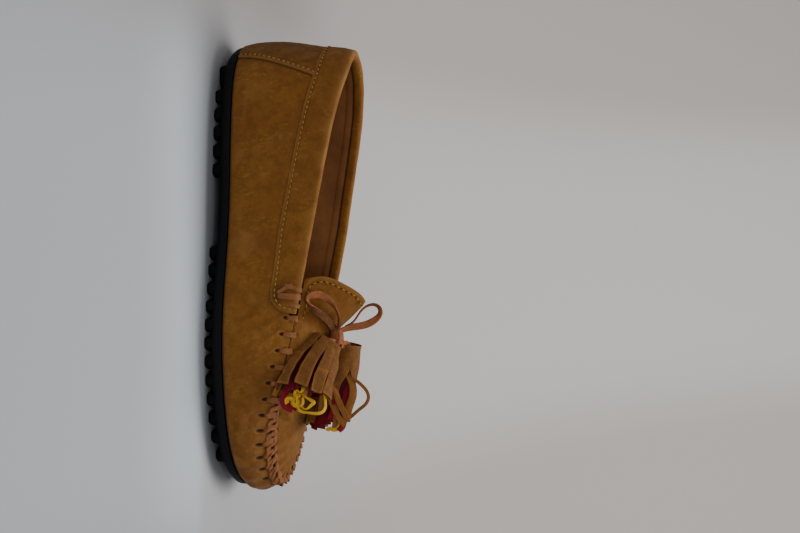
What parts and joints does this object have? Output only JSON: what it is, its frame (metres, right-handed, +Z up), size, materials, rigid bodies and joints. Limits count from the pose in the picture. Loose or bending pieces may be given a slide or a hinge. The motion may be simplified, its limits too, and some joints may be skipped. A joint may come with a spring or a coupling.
{
  "type": "loafer",
  "caption": "Tassel moccasin loafer for the right foot, in brushed tan leather with a whip-stitched apron, a rolled collar band, a lace bow and a rubber driving sole.",
  "frame": {"origin": "on the floor under the middle of the shoe", "axes": "+X towards the toe, +Y towards the foot's inner (medial) side, +Z up"},
  "size_m": [0.2446, 0.0857, 0.0844],
  "materials": {
    "tan_nubuck": "brushed nubuck, golden tan, mottled and pale where rubbed",
    "black_rubber": "matt moulded rubber",
    "lining_leather": "smooth reddish brown lining leather",
    "salmon_lace": "soft salmon tan lace with a darker flesh side",
    "tassel_suede": "soft brown suede strips, with crimson and yellow strips inside"
  },
  "bodies": {
    "root": {"upper": "tan_nubuck", "plug_tongue": "tan_nubuck", "collar_cuff": "tan_nubuck", "heel_counter": "tan_nubuck", "outsole": "black_rubber", "insole": "lining_leather", "whip_lace": "salmon_lace", "cuff_tie_lateral": "salmon_lace", "cuff_tie_medial": "salmon_lace", "bow_knot": "salmon_lace", "bow_loop_near": "salmon_lace", "bow_loop_far": "salmon_lace", "lace_end_near": "salmon_lace", "lace_end_far": "salmon_lace", "tassel_near": "tassel_suede", "tassel_far": "tassel_suede"}
  },
  "joints": []
}
